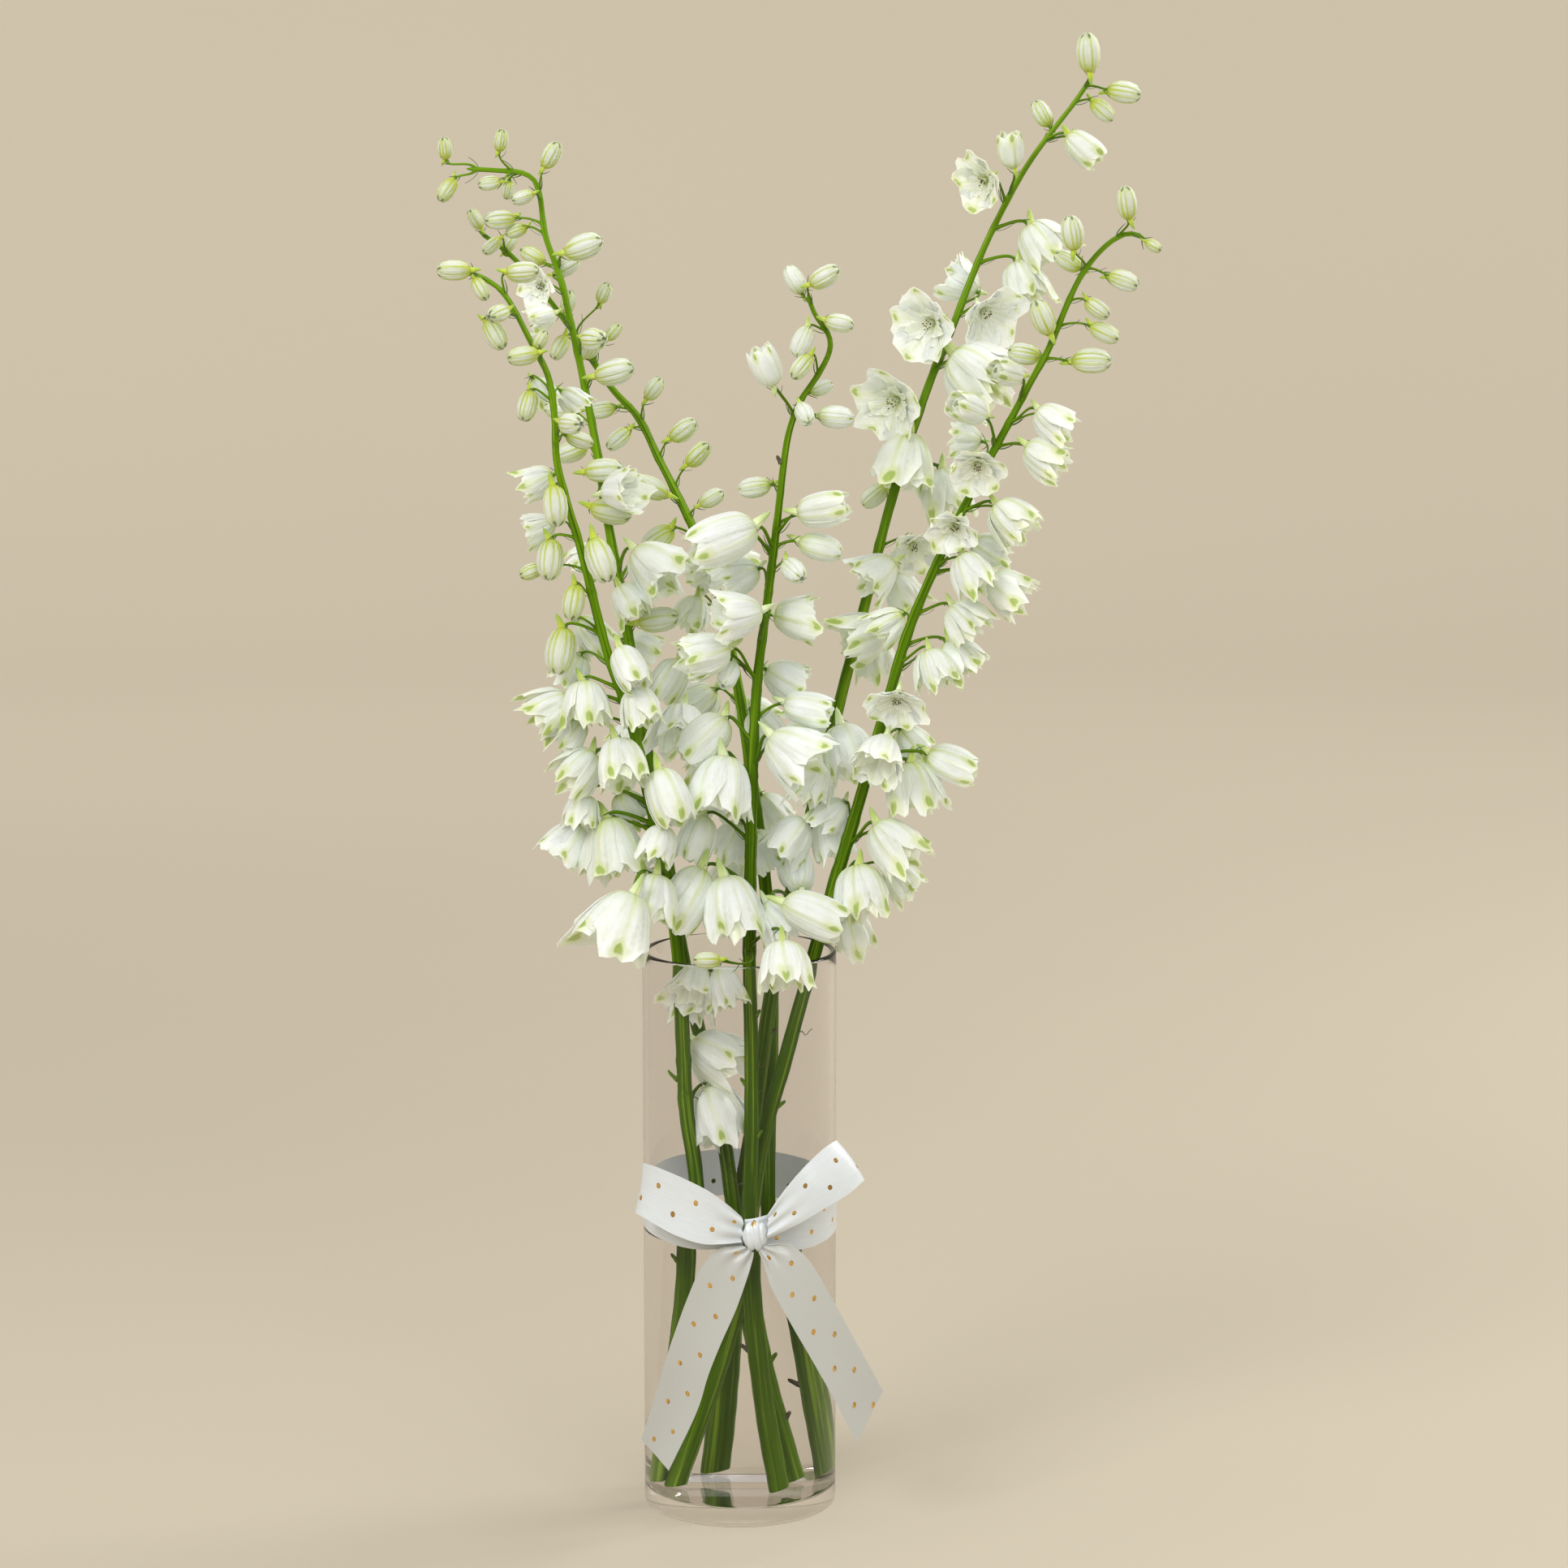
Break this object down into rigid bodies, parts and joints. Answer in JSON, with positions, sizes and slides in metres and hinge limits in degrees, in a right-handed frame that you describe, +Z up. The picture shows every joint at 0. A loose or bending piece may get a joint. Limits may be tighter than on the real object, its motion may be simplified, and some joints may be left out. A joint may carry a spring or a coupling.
{
  "type": "delphinium flower spikes in a glass vase",
  "caption": "Cut white delphinium flower spikes standing in a clear glass cylinder vase part filled with water, tied round with a satin ribbon bow.",
  "frame": {"origin": "middle of the vase's flat foot, on the surface that it stands on", "axes": "+Z up along the vase's axis, -Y towards the front with the ribbon bow, +X to the right seen from the front"},
  "size_m": [0.3618, 0.1963, 0.7586],
  "materials": {
    "glass": "clear polished",
    "water": "clear liquid",
    "petals": "soft matte petals",
    "stem": "green stem, satin",
    "satin": "satin weave"
  },
  "bodies": {
    "root": {"floret_a_20": "petals", "floret_a_27": "petals", "floret_b_25": "petals", "floret_b_26": "petals", "floret_b_28": "petals", "floret_b_29": "petals", "floret_b_32": "petals", "floret_b_33": "petals", "floret_b_34": "petals", "floret_b_35": "petals", "floret_b_37": "petals", "floret_b_39": "petals", "floret_b_40": "petals", "floret_b_41": "petals", "floret_d_13": "petals", "floret_d_15": "petals", "floret_d_17": "petals", "floret_d_19": "petals", "floret_d_21": "petals", "floret_d_22": "petals", "floret_d_23": "petals", "floret_d_27": "petals", "floret_d_28": "petals", "floret_d_30": "petals", "floret_d_39": "petals", "floret_d_40": "petals", "floret_e_08": "petals", "floret_e_09": "petals", "floret_e_10": "petals", "floret_e_11": "petals", "floret_e_13": "petals", "floret_e_14": "petals", "floret_e_15": "petals", "floret_e_16": "petals", "floret_e_19": "petals", "floret_e_21": "petals", "floret_e_23": "petals", "floret_e_26": "petals", "floret_e_29": "petals", "floret_e_34": "petals", "floret_e_35": "petals", "floret_e_36": "petals", "floret_f_27": "petals", "floret_f_29": "petals", "floret_f_31": "petals", "floret_f_32": "petals", "ribbon_band": "satin", "ribbon_knot": "satin", "ribbon_loop_left": "satin", "ribbon_loop_right": "satin", "ribbon_tail_left": "satin", "ribbon_tail_right": "satin", "stem_a": "stem", "stem_b": "stem", "stem_c": "stem", "stem_d": "stem", "stem_e": "stem", "stem_f": "stem", "vase": "glass", "water": "water"}
  },
  "joints": []
}
